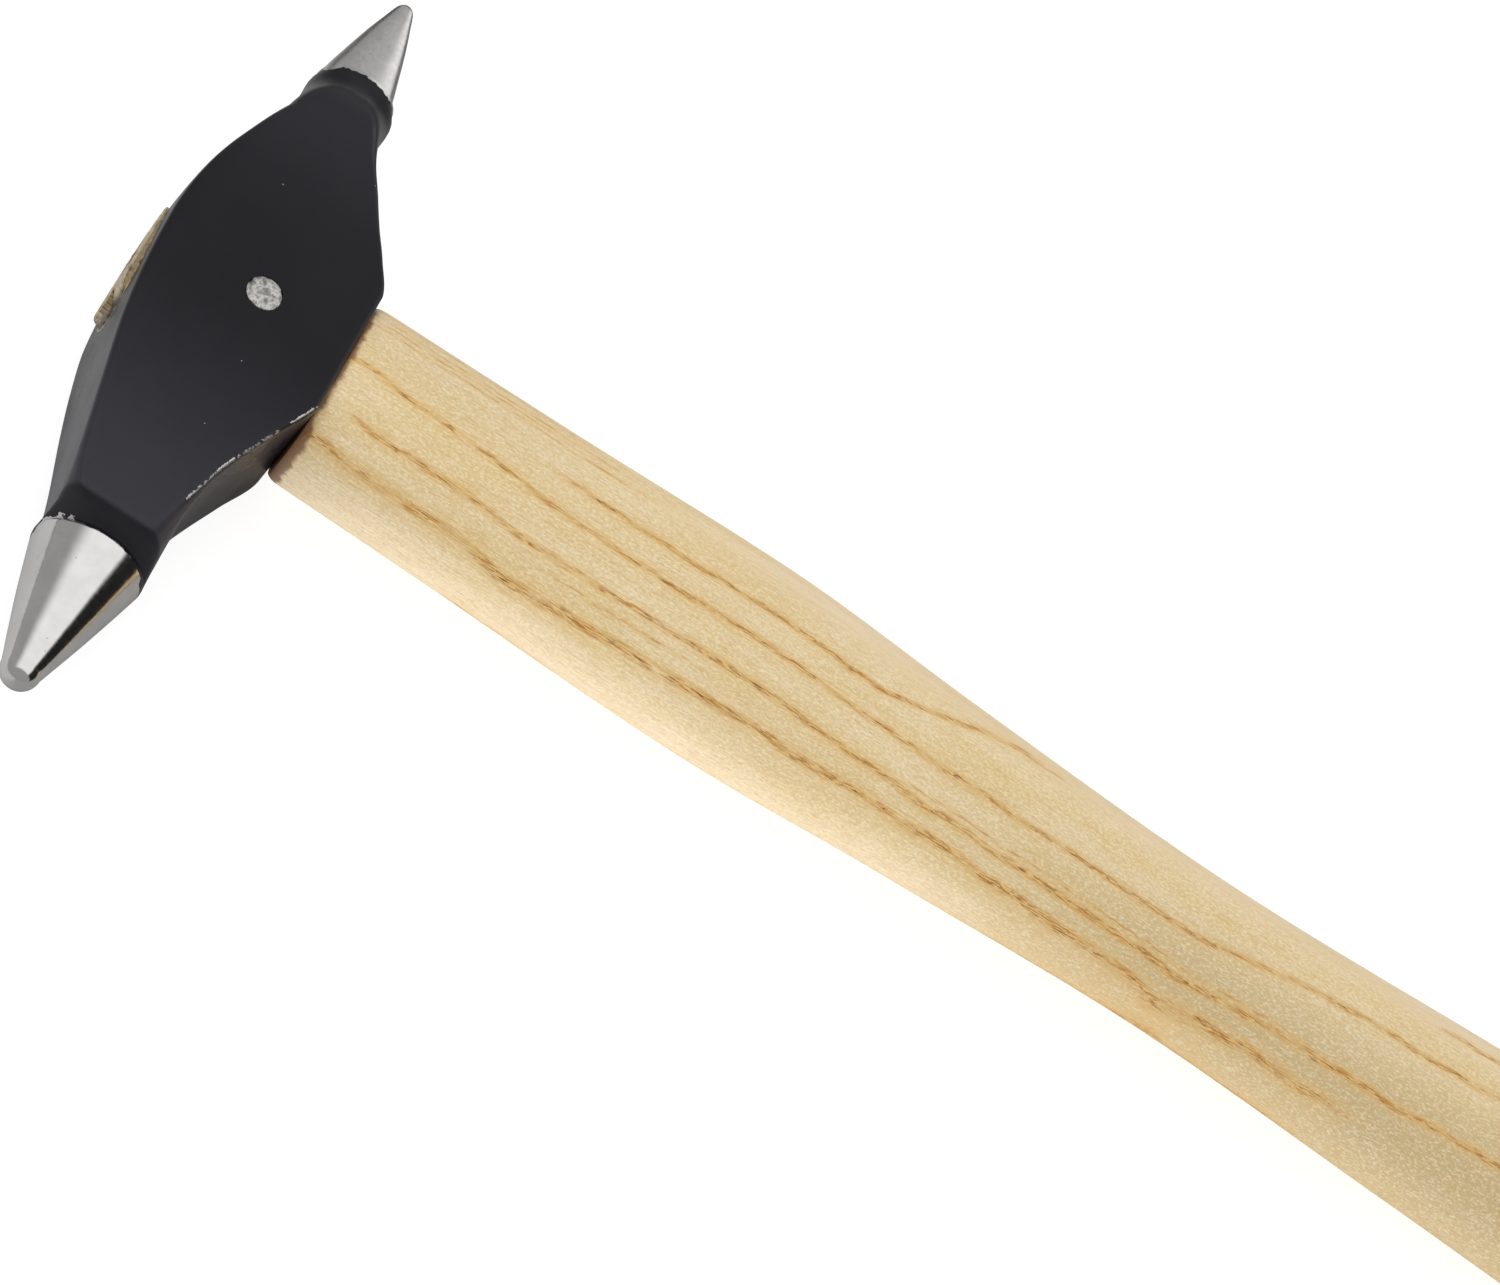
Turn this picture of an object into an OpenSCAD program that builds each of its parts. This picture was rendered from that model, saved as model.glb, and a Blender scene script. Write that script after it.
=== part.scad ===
// Cone-and-cross-peen hammer: a forged head on an ash handle.
//
// The hammer lies on one cheek of its head. +X runs from the head along the handle to the butt,
// +Y towards the cross peen and +Z up, square to the cheeks. The origin is the centre of the cross
// pin on the lower cheek. All sizes are millimetres.

/* [Head] */
// Thickness of the head between its two flat cheeks
head_t = 22; // [18:0.5:26]
// Height of the crown above the cross pin, at the eye mouth
crown_h = 15; // [14:0.5:18]
// Radius of the crowned top on the side of the cross peen
crown_r = 50; // [42:1:60]
// Radius of the crowned top on the side of the cone
crown_r_cone = 100; // [85:5:115]
// Distance from the cross pin to the flat shoulder that the handle butts against
shoulder_h = 12.8; // [11:0.2:15]
// Width of that flat shoulder along the head
shoulder_w = 19.2; // [18:0.2:24]

/* [Cone peen] */
// Diameter of the ground cone where the paint ends
cone_d = 14.8; // [12:0.2:16]
// Diameter of the cone just behind its rounded nose
cone_nose_d = 5; // [3:0.2:7]
// Distance from the cross pin to the tip of the cone
cone_reach = 59.5; // [55:0.5:66]

/* [Cross peen] */
// Thickness of the wedge at its root
peen_root_t = 9.5; // [8:0.1:11]
// Thickness of the wedge at its edge
peen_edge_t = 2.3; // [1.5:0.1:4]
// Length of the working edge
peen_edge_w = 7.6; // [5:0.2:10]
// Distance from the cross pin to the working edge
peen_reach = 56.5; // [52:0.5:62]

/* [Eye and pin] */
// Length of the eye along the head
eye_l = 17; // [14:0.5:18]
// Width of the eye across the head
eye_w = 11; // [9:0.5:12]
// Extra width of the flared eye mouth, all round
eye_flare = 0.7; // [0.2:0.1:1.2]
// Diameter of the cross pin
pin_d = 4.76; // [4:0.01:6]

/* [Handle] */
// Distance from the cross pin to the butt of the handle
handle_reach = 284; // [260:1:320]
// Squareness of the handle's section: 2 is an ellipse, more is flatter on its broad sides
handle_square = 2.4; // [2:0.1:3]
// Length of the rounded butt
butt_l = 9; // [6:0.5:14]

/* [Resolution] */
// Points round one ring of the handle
ring_points = 40; // [24:4:48]
// Rings along the handle
ring_count = 38; // [24:1:44]

/* [Hidden] */
$fn = 72;

// One glue line or drilling allowance, per side
gap = 0.05;
mid_z = head_t / 2;

// Room by which a cutting shape runs past what it cuts, and an overlap that joins two solids
past = 2;
lap = 5;

// Crowned top: two arcs that meet at the crest, each carried on by a straight wing
crest_y = 3;
crown_turn_cone = 12;
crown_turn_peen = 19;
crown_x = crown_r - crown_h;
crown_x_cone = crown_r_cone - crown_h;
arc_steps = 10;

// Cheek outline: the two necks, where the wings reach them, and where the cheeks end
cheek_end_cone = 38.4;
cheek_end_peen = 32.5;
neck_top_peen = -8.6;
neck_bottom_cone = 3.8;
neck_bottom_peen = 2.9;
neck_corner = 1.1;
top_wing_end_peen = 28;
wing_end_cone = 34.5;
wing_end_peen = 30;
wing_sag_cone = 0.7;
wing_sag_peen = 0.7;

// Bevel along the lower edge of the top, from the crest to the cone
bevel_rise = 2;
bevel_tilt = 17;
bevel_extra_turn = 2.5;
bevel_turn = crown_turn_cone + bevel_extra_turn;
bevel_size = 80;

// Round collars at the two ends of the painted body
cone_x = -0.9;
collar_r_cone = 7.7;
collar_waist_cone = 6.5;
collar_y_cone = 39.5;
collar_start_cone = 33;
cone_band = 1.2;
peen_x = -2.6;
collar_r_peen = 5.75;
collar_waist_peen = 6.3;
collar_y_peen = 41;
collar_start_peen = 31;
collar_dome = 1.2;
collar_rim = 0.6;
peen_half_w = 5.4;
edge_ease = 0.8;
step_back = 3;

// Barrel that rounds the corners of the body off towards its two collars
barrel_x = -1.7;
barrel_r = 40;
barrel_mid_y = 12;
barrel_neck_r = 13.4;
barrel_cheek_r = 12.2;
barrel_start_peen = 30;

// Eye, tenon and wedge
eye_c = (eye_l - eye_w) / 2;
flare_h = 7;
flare_x = -crown_h + flare_h;
flare_rate = eye_flare / flare_h;
tenon_proud = 0.5;
tenon_top = -crown_h - tenon_proud;
kerf_end = -4.5;
kerf_t = 2.4;
kerf_tip_t = 1;
wedge_proud = 0.5;
wedge_l = 15;
wedge_end_room = 0.2;
wedge_side_room = 0.02;
bead_h = 0.4;
bead_w = 0.8;
bead_reach = 3;
pin_inset = 0.05;

// Handle stations: distance from the pin, half width along the head, half depth across it
STATIONS = [
    [12.8, 13, 10.2],
    [40, 13.4, 10.5],
    [77, 14.2, 10.8],
    [105, 12.7, 10],
    [145, 11.2, 9.2],
    [185, 12.7, 9.9],
    [226, 14.3, 10.8],
    [258, 14, 10.7],
    [284, 13.7, 10.6]
];
shoulder_round = 0.6;
shoulder_scale = 0.93;

// Domed butt: how its rings close, and how nearly the last one reaches the end
butt_x = handle_reach - butt_l;
butt_rings = 8;
butt_span = 86;
butt_fullness = 2.6;
butt_edge = 2.2;

// Points on an arc about (cx, cy), from angle a0 to angle a1
function arc(cx, cy, r, a0, a1) =
    [for (i = [0:arc_steps]) let (a = a0 + (a1 - a0) * i / arc_steps) [cx + r * cos(a), cy + r * sin(a)]];

// Points on a shallow curve from p to q that sags to its left by the given amount
function sagged(p, q, sag) =
    let (d = q - p, n = [-d.y, d.x] / norm(d))
    [for (i = [0:arc_steps]) let (t = i / arc_steps) p + d * t + n * 4 * sag * t * (1 - t)];

// Smooth value of one column of STATIONS at distance x, by a Catmull-Rom curve
function station_index(x, i = 0) =
    (i >= len(STATIONS) - 2 || x < STATIONS[i + 1][0]) ? i : station_index(x, i + 1);
function station_slope(i, column) =
    let (a = STATIONS[max(i - 1, 0)], b = STATIONS[min(i + 1, len(STATIONS) - 1)])
    (b[column] - a[column]) / (b[0] - a[0]);
function station_value(x, column) =
    let (
        i = station_index(x),
        p = STATIONS[i],
        q = STATIONS[i + 1],
        span = q[0] - p[0],
        t = (x - p[0]) / span,
        rise = q[column] - p[column],
        s0 = station_slope(i, column) * span,
        s1 = station_slope(i + 1, column) * span
    )
    p[column] + s0 * t + (3 * rise - 2 * s0 - s1) * t * t + (s0 + s1 - 2 * rise) * t * t * t;

// Signed power, for the squared oval section
function bent(v, n) = sign(v) * pow(abs(v), 2 / n);

// One ring of the handle at distance x, shrunk by the factor k
function handle_ring(x, k) = [
    for (j = [0:ring_points - 1])
        let (a = 360 * j / ring_points, s = min(x, STATIONS[len(STATIONS) - 1][0]))
        [
            x,
            k * station_value(s, 1) * bent(cos(a), handle_square),
            mid_z + k * station_value(s, 2) * bent(sin(a), handle_square)
        ]
];

// Ring places: an eased shoulder edge, an even run, then closer rings round the butt
run_x = shoulder_h + shoulder_round;
run_rings = ring_count - butt_rings - 2;
function butt_scale(u) = pow(1 - pow(u, butt_fullness), 1 / butt_edge);
RINGS = concat(
    [handle_ring(shoulder_h, shoulder_scale)],
    [for (i = [0:run_rings]) handle_ring(run_x + (butt_x - run_x) * i / run_rings, 1)],
    [for (i = [1:butt_rings])
        let (u = sin(butt_span * i / butt_rings))
        handle_ring(butt_x + butt_l * u, butt_scale(u))]
);

// Closed loft through RINGS
module handle_shaft() {
    points = [for (r = RINGS) for (p = r) p];
    n = ring_points;
    last = len(RINGS) - 1;
    sides = [
        for (i = [0:last - 1]) for (j = [0:n - 1])
            let (k = (j + 1) % n) each [
                [i * n + j, (i + 1) * n + j, (i + 1) * n + k],
                [i * n + j, (i + 1) * n + k, i * n + k]
            ]
    ];
    front = [for (j = [0:n - 1]) j];
    back = [for (j = [0:n - 1]) last * n + n - 1 - j];
    polyhedron(points = points, faces = concat([front], sides, [back]));
}

// Oval prism along X: the eye, and the tenon that fills it
module oval_bar(x0, x1, grow) {
    for (side = [-1, 1])
        translate([x0, side * eye_c, mid_z])
            rotate([0, 90, 0])
                cylinder(h = x1 - x0, r = eye_w / 2 + grow);
    translate([x0, -eye_c, mid_z - eye_w / 2 - grow])
        cube([x1 - x0, 2 * eye_c, eye_w + 2 * grow]);
}

// Flared end of the same oval, wider by grow0 at x0 and by grow1 at x1
module oval_flare(x0, x1, grow0, grow1) {
    for (side = [-1, 1])
        translate([x0, side * eye_c, mid_z])
            rotate([0, 90, 0])
                cylinder(h = x1 - x0, r1 = eye_w / 2 + grow0, r2 = eye_w / 2 + grow1);
    translate([0, eye_c, mid_z])
        rotate([90, 0, 0])
            linear_extrude(2 * eye_c)
                polygon([
                    [x0, -eye_w / 2 - grow0],
                    [x1, -eye_w / 2 - grow1],
                    [x1, eye_w / 2 + grow1],
                    [x0, eye_w / 2 + grow0]
                ]);
}

// Crowned top from the cone's side to the peen's, standing off by grow
function crown_line(grow) = concat(
    arc(crown_x_cone, crest_y, crown_r_cone + grow, 180 + crown_turn_cone, 180),
    arc(crown_x, crest_y, crown_r + grow, 180, 180 - crown_turn_peen)
);

// Point at distance y on the straight wing that carries an arc of the crown on
function wing_point(arc_x, r, turn, y) =
    let (run = abs(y - crest_y) - r * sin(turn))
    [arc_x - r * cos(turn) + run * tan(turn), y];

// Outline of the painted body, seen square to the cheek
module cheek_outline() {
    shoulder = shoulder_w / 2;
    neck_end = collar_y_peen - lap;
    polygon(concat(
        [wing_point(crown_x_cone, crown_r_cone, crown_turn_cone, -cheek_end_cone)],
        crown_line(0),
        [wing_point(crown_x, crown_r, crown_turn_peen, top_wing_end_peen)],
        [[neck_top_peen, neck_end], [neck_bottom_peen, neck_end]],
        sagged([neck_bottom_peen, wing_end_peen], [shoulder_h, shoulder], -wing_sag_peen),
        sagged([shoulder_h, -shoulder], [neck_bottom_cone, -wing_end_cone], -wing_sag_cone),
        [[neck_bottom_cone - neck_corner, -cheek_end_cone]]
    ));
}

// Slanting block that takes the lower edge of the top off, more and more towards the cone
module lower_bevel() {
    wing_x = crown_x_cone - crown_r_cone * cos(crown_turn_cone);
    wing_y = crest_y - crown_r_cone * sin(crown_turn_cone);
    translate([wing_x, wing_y, mid_z + bevel_rise])
        rotate([0, -bevel_tilt, bevel_turn])
            translate([-bevel_size, -bevel_size / 2, -bevel_size / 2])
                cube(bevel_size);
}

// Side profile of the painted body, with the slopes from the cheeks down to the two collars
module side_profile() {
    rotate([90, 0, 90])
        translate([0, 0, -barrel_r])
            linear_extrude(2 * barrel_r)
                polygon([
                    [-collar_y_cone, mid_z - collar_r_cone],
                    [-cheek_end_cone, 0],
                    [cheek_end_peen, 0],
                    [collar_y_peen - step_back, mid_z - collar_r_peen],
                    [collar_y_peen - step_back, mid_z + collar_r_peen],
                    [cheek_end_peen, head_t],
                    [-cheek_end_cone, head_t],
                    [-collar_y_cone, mid_z + collar_r_cone]
                ]);
}

// Solid of revolution about the head's long axis, from a profile of [radius, distance along Y]
module turned(x, profile) {
    translate([x, 0, mid_z])
        rotate([-90, 0, 0])
            rotate_extrude()
                polygon(profile);
}

module body_barrel() {
    turned(barrel_x, [
        [0, -collar_y_cone],
        [collar_r_cone, -collar_y_cone],
        [barrel_cheek_r, -cheek_end_cone],
        [barrel_neck_r, -collar_start_cone],
        [barrel_r, -barrel_mid_y],
        [barrel_r, barrel_mid_y],
        [barrel_neck_r, barrel_start_peen],
        [barrel_cheek_r, cheek_end_peen],
        [collar_waist_peen, collar_y_peen - step_back],
        [0, collar_y_peen - step_back]
    ]);
}

module cone_end() {
    nose_r = cone_nose_d / 2;
    turned(cone_x, [
        [0, -collar_y_cone],
        [collar_r_cone, -collar_y_cone],
        [collar_r_cone, -collar_y_cone + cone_band],
        [collar_waist_cone, -collar_start_cone],
        [collar_waist_cone, -collar_start_cone + lap],
        [0, -collar_start_cone + lap]
    ]);
    turned(cone_x, [
        [0, -cone_reach + nose_r],
        [nose_r, -cone_reach + nose_r],
        [cone_d / 2, -collar_y_cone - cone_band],
        [cone_d / 2, -collar_y_cone],
        [0, -collar_y_cone]
    ]);
    translate([cone_x, -cone_reach + nose_r, mid_z])
        sphere(nose_r);
}

// Wedge that narrows to the working edge, with its two sides crowned
module cross_peen() {
    root = peen_root_t / 2;
    edge = peen_edge_t / 2;
    tip = edge * edge_ease;
    intersection() {
        translate([peen_x, 0, 0])
            linear_extrude(head_t)
                polygon([
                    [-root, collar_y_peen - past],
                    [-root, collar_y_peen],
                    [-edge, peen_reach - tip],
                    [-edge / 2, peen_reach],
                    [edge / 2, peen_reach],
                    [edge, peen_reach - tip],
                    [root, collar_y_peen],
                    [root, collar_y_peen - past]
                ]);
        turned(peen_x, [
            [0, collar_y_peen - past],
            [peen_half_w, collar_y_peen - past],
            [peen_half_w, collar_y_peen],
            [peen_edge_w / 2, peen_reach - tip],
            [peen_edge_w / 2 - tip / 2, peen_reach],
            [0, peen_reach]
        ]);
    }
}

module peen_end() {
    turned(peen_x, [
        [0, collar_start_peen - lap],
        [collar_waist_peen, collar_start_peen - lap],
        [collar_waist_peen, collar_y_peen - lap],
        [collar_r_peen, collar_y_peen - collar_dome],
        [collar_r_peen - collar_rim, collar_y_peen],
        [0, collar_y_peen]
    ]);
    cross_peen();
}

// Forged head: flat cheeks, crowned top, a necked cone and a necked wedge in one piece
module head() {
    color("#2b2b30")
        difference() {
            union() {
                difference() {
                    intersection() {
                        linear_extrude(head_t) cheek_outline();
                        side_profile();
                        body_barrel();
                    }
                    lower_bevel();
                }
                cone_end();
                peen_end();
            }
            oval_bar(flare_x - past, shoulder_h + past, 0);
            oval_flare(-crown_h - past, flare_x, flare_rate * (flare_h + past), 0);
            pin_hole();
        }
}

module pin_hole() {
    translate([0, 0, -past])
        cylinder(h = head_t + 2 * past, d = pin_d + 2 * gap);
}

// Ash handle: shaped grip, flat shoulder and a kerfed tenon drilled for the pin
module handle() {
    color("#d9bf95")
        difference() {
            union() {
                handle_shaft();
                oval_bar(flare_x - past, shoulder_h + past, -gap);
                oval_flare(tenon_top, flare_x, flare_rate * (flare_h + tenon_proud) - gap, -gap);
            }
            pin_hole();
            kerf(0);
        }
}

// Tapered slot across the tenon, and the wedge that fills it
module kerf(inset) {
    translate([0, eye_l, mid_z])
        rotate([90, 0, 0])
            linear_extrude(2 * eye_l)
                polygon([
                    [tenon_top - past, -kerf_t / 2 + inset],
                    [kerf_end, -kerf_tip_t / 2 + inset],
                    [kerf_end, kerf_tip_t / 2 - inset],
                    [tenon_top - past, kerf_t / 2 - inset]
                ]);
}

module cross_pin() {
    color("#8e8d8c")
        translate([0, 0, pin_inset])
            cylinder(h = head_t - 2 * pin_inset, d = pin_d);
}

module eye_wedge() {
    wedge_top = tenon_top - wedge_proud;
    color("#8a5a2c")
        intersection() {
            kerf(wedge_side_room);
            translate([wedge_top, -wedge_l / 2, 0])
                cube([kerf_end - wedge_end_room - wedge_top, wedge_l, head_t]);
        }
}

// Everything inside the crowned top when it stands off by grow
module under_crown(grow) {
    linear_extrude(head_t)
        polygon(concat(crown_line(grow), [[0, crest_y]]));
}

// Bead of set glue squeezed out round the tenon, on the crowned top
module glue_bead() {
    color("#a9762f")
        difference() {
            intersection() {
                under_crown(bead_h);
                oval_bar(-crown_h - bead_reach, -crown_h + bead_reach, eye_flare + bead_w);
            }
            under_crown(gap);
            oval_flare(-crown_h - past, flare_x, flare_rate * (flare_h + past) + gap, gap);
        }
}

head();
handle();
cross_pin();
eye_wedge();
glue_bead();
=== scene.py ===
"""Looks of the cone-and-cross-peen hammer, built round its CAD frame.

The hammer lies on one cheek: +X runs from the head to the butt of the handle, +Y towards the cross
peen, +Z up. Shapes are worked out in millimetres and written to the meshes in metres.
"""

import math

import bmesh
import bpy
from mathutils import Matrix, Quaternion, Vector, noise


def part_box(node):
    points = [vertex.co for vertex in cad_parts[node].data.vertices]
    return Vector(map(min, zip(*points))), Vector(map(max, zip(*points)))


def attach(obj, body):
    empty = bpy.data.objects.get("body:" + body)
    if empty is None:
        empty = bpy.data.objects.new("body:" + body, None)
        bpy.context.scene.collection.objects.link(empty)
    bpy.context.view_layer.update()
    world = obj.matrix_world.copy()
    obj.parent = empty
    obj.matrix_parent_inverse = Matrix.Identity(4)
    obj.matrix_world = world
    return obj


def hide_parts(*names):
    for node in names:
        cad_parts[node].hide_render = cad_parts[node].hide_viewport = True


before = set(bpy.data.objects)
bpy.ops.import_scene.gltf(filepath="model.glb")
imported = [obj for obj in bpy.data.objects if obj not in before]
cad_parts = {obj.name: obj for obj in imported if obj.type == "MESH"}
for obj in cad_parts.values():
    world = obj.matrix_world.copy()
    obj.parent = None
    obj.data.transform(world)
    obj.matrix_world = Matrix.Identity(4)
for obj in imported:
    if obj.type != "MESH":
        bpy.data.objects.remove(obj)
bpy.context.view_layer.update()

MM = 0.001
DEGREES = 180 / math.pi

# ---------------------------------------------------------------- sizes from the frame, in millimetres


def box_mm(node):
    """Lowest and highest corner of a CAD node, in millimetres."""
    low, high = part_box(node)
    return [c / MM for c in low], [c / MM for c in high]


head_low, head_high = box_mm("head")
handle_low, handle_high = box_mm("handle")
pin_low, pin_high = box_mm("cross_pin")
wedge_low, wedge_high = box_mm("eye_wedge")

MID_Z = (head_low[2] + head_high[2]) / 2
HALF_T = (head_high[2] - head_low[2]) / 2
CROWN_H = -head_low[0]
SHOULDER_H = head_high[0]
CONE_REACH = -head_low[1]
PEEN_REACH = head_high[1]
PIN_R = (pin_high[0] - pin_low[0]) / 2
TENON_TOP = handle_low[0]
BUTT_REACH = handle_high[0]

# Design sizes that the head and the handle share with the CAD parts
CREST_Y = 3.0
CREST_X = -CROWN_H + 0.35
CROWN_PEEN = (50.0, 18.0)
CROWN_CONE = (100.0, 12.0)
SHOULDER_HALF = 9.6
CONE_X = -0.9
CONE_PAINT_Y = -39.3
CONE_TURN_Y = -38.2
CONE_START_Y = -39.75
CONE_R = 7.4
CONE_NOSE_R = 2.5
PEEN_X = -2.75
PEEN_PAINT_Y = 41.0
EYE_L = 17.0
EYE_W = 11.0
EYE_FLARE = 0.7
FLARE_H = 7.0
TENON_GAP = 0.05
HANDLE_SQUARE = 2.4

# ---------------------------------------------------------------- small curves


def mix(a, b, t):
    return a + (b - a) * t


def ease(t):
    """Smooth step from 0 to 1."""
    t = min(max(t, 0.0), 1.0)
    return t * t * (3 - 2 * t)


def stations(table, x):
    """Smooth values at x of a table of rows [x, value, value, ...], by a Catmull-Rom curve."""
    last = len(table) - 1
    x = min(max(x, table[0][0]), table[last][0])
    i = 0
    while i < last - 1 and x >= table[i + 1][0]:
        i += 1
    p, q = table[i], table[i + 1]
    span = q[0] - p[0]
    t = (x - p[0]) / span

    def slope(k, col):
        a, b = table[max(k - 1, 0)], table[min(k + 1, last)]
        return (b[col] - a[col]) / (b[0] - a[0]) * span

    out = []
    for col in range(1, len(p)):
        rise = q[col] - p[col]
        s0, s1 = slope(i, col), slope(i + 1, col)
        out.append(p[col] + s0 * t + (3 * rise - 2 * s0 - s1) * t * t + (s0 + s1 - 2 * rise) * t**3)
    return out


def wobble(x, y, z, size, seed=0.0):
    """Smooth noise from -1 to 1 whose lumps are about size millimetres."""
    return noise.noise(Vector((x / size + seed, y / size - seed, z / size + 2 * seed)))


# ---------------------------------------------------------------- mesh building


def new_object(name, mesh):
    piece = bpy.data.objects.new(name, mesh)
    bpy.context.scene.collection.objects.link(piece)
    return piece


def loft(name, rings, capped=True):
    """Closed skin through rings of equal count, given in millimetres, with a fan at each end."""
    count = len(rings[0])
    verts = [(x * MM, y * MM, z * MM) for ring in rings for (x, y, z) in ring]
    faces = []
    for i in range(len(rings) - 1):
        a, b = i * count, (i + 1) * count
        for j in range(count):
            k = (j + 1) % count
            faces.append((a + j, a + k, b + k, b + j))
    if capped:
        for i, flip in ((0, True), (len(rings) - 1, False)):
            ring = rings[i]
            hub = len(verts)
            verts.append(tuple(sum(p[c] for p in ring) / count * MM for c in range(3)))
            for j in range(count):
                k = (j + 1) % count
                a, b = i * count + j, i * count + k
                faces.append((b, a, hub) if flip else (a, b, hub))
    mesh = bpy.data.meshes.new(name)
    mesh.from_pydata(verts, [], faces)
    mesh.update()
    tidy_normals(mesh)
    return new_object(name, mesh)


def tidy_normals(mesh):
    """Merges doubled points and turns every face outwards."""
    work = bmesh.new()
    work.from_mesh(mesh)
    bmesh.ops.remove_doubles(work, verts=work.verts, dist=1e-7)
    bmesh.ops.recalc_face_normals(work, faces=work.faces)
    work.to_mesh(mesh)
    work.free()


def smooth(piece, sharp_deg):
    """Smooth shading, with the edges sharper than the given angle kept crisp."""
    mesh = piece.data
    mesh.polygons.foreach_set("use_smooth", [True] * len(mesh.polygons))
    mesh.set_sharp_from_angle(angle=math.radians(sharp_deg))


def cut(piece, *cutters):
    """Takes the cutters out of the piece, for good."""
    for cutter in cutters:
        modifier = piece.modifiers.new("cut", "BOOLEAN")
        modifier.operation = "DIFFERENCE"
        modifier.solver = "EXACT"
        modifier.object = cutter
    graph = bpy.context.evaluated_depsgraph_get()
    mesh = bpy.data.meshes.new_from_object(piece.evaluated_get(graph))
    mesh.name = piece.name
    piece.modifiers.clear()
    piece.data = mesh
    for cutter in cutters:
        bpy.data.objects.remove(cutter, do_unlink=True)


def rounded_section(x0, x1, z0, z1, corners, corner_steps=10, x_steps=26, z_steps=18):
    """Points of an XZ section with elliptical corners.

    x0 is the crowned side and x1 the handle side. The corners are (rx, rz) of the upper under corner,
    the upper crowned one, the lower crowned one and the lower under one.
    """
    points = []

    def corner(cx, cz, rx, rz, start):
        for i in range(corner_steps):
            a = math.radians(start + 90 * i / corner_steps)
            points.append((cx + rx * math.cos(a), cz + rz * math.sin(a)))

    def straight(p, q, steps):
        for i in range(steps):
            points.append((mix(p[0], q[0], i / steps), mix(p[1], q[1], i / steps)))

    (ax, az), (bx, bz), (cx, cz), (dx, dz) = corners
    corner(x1 - ax, z1 - az, ax, az, 0)
    straight((x1 - ax, z1), (x0 + bx, z1), x_steps)
    corner(x0 + bx, z1 - bz, bx, bz, 90)
    straight((x0, z1 - bz), (x0, z0 + cz), z_steps)
    corner(x0 + cx, z0 + cz, cx, cz, 180)
    straight((x0 + cx, z0), (x1 - dx, z0), x_steps)
    corner(x1 - dx, z0 + dz, dx, dz, 270)
    straight((x1, z0 + dz), (x1, z1 - az), z_steps)
    return points


# ---------------------------------------------------------------- the forged head

# Distance along the head, with X of the underside: shoulder, wings and necks
UNDERSIDE = [
    [-39.3, 6.5],
    [-37.5, 6.15],
    [-35, 5.85],
    [-32, 5.7],
    [-29, 5.95],
    [-26, 6.5],
    [-22, 7.8],
    [-16, 10.2],
    [-SHOULDER_HALF, SHOULDER_H],
    [0, SHOULDER_H],
    [SHOULDER_HALF, SHOULDER_H],
    [14.4, 10.45],
    [18, 8.3],
    [22, 6.2],
    [26, 4.3],
    [30, 3.2],
    [34, 3.2],
    [37, 3.6],
    [39.5, 3.7],
    [41, 3.1],
]
# Distance along the head, with X of the crowned side where the straight wings have ended
NECK_PEEN = [[27.5, -9.25], [31, -8.8], [34, -8.55], [37, -8.5], [39.5, -8.5], [41, -8.1]]
# Distance along the head, with half the thickness
BODY = [
    [-39.3, 7.43],
    [-38.8, 8.9],
    [-38.2, 10.4],
    [-37.4, 10.9],
    [-34, 10.94],
    [27, 10.94],
    [31, 10.9],
    [34, 9.9],
    [37, 7.6],
    [39.5, 6.1],
    [41, 5.5],
]
# Distance along the head, with how far the lower crowned edge is set in, and its corner's (rx, rz)
LOWER_EDGE = [
    [-39.3, 0.0, 7.43, 7.43],
    [-38.8, 0.6, 5.2, 6.8],
    [-38.2, 1.4, 3.8, 5.4],
    [-37.4, 2.0, 3.0, 4.2],
    [-34, 2.2, 2.4, 3.2],
    [-29, 1.95, 1.6, 2.2],
    [-22, 1.2, 1.2, 1.5],
    [-14, 0.5, 0.9, 1.1],
    [-7, 0.0, 0.7, 0.8],
    [22, 0.0, 0.8, 1.0],
    [27, 0.0, 1.4, 2.2],
    [31, 0.0, 2.4, 4.2],
    [34, 0.0, 4.0, 7.4],
    [37, 0.0, 5.8, 7.2],
    [39.5, 0.0, 6.05, 6.05],
    [41, 0.0, 5.5, 5.5],
]
# Distance along the head, with how far the crowned side stands out at its edge and more at mid thickness
CROWN_SWELL = [
    [-16, 0.0, 0.0],
    [-8, 0.0, 0.15],
    [0, 0.05, 0.2],
    [6, 0.2, 0.3],
    [12, 0.28, 0.5],
    [18, 0.28, 0.5],
    [25, 0.25, 0.2],
    [32, 0.0, 0.0],
]
# Distance along the head, with (rx, rz) of the crowned corners and of the under corners
CORNERS = [
    [-39.3, 7.43, 7.43, 7.43, 7.43],
    [-38.8, 4.4, 6.6, 5.6, 8.4],
    [-38.2, 2.6, 5.0, 4.6, 8.8],
    [-37.4, 1.7, 3.2, 3.8, 7.8],
    [-34, 1.1, 1.5, 2.3, 4.2],
    [-29, 0.9, 1.0, 1.0, 1.5],
    [-22, 0.8, 0.9, 0.6, 0.7],
    [0, 0.8, 0.9, 0.6, 0.7],
    [22, 0.8, 1.0, 0.8, 1.0],
    [27, 1.4, 2.2, 1.6, 2.6],
    [31, 2.4, 4.2, 2.6, 5.0],
    [34, 4.0, 7.4, 4.2, 7.4],
    [37, 5.8, 7.2, 5.8, 7.2],
    [39.5, 6.05, 6.05, 6.05, 6.05],
    [41, 5.5, 5.5, 5.5, 5.5],
]


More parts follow.
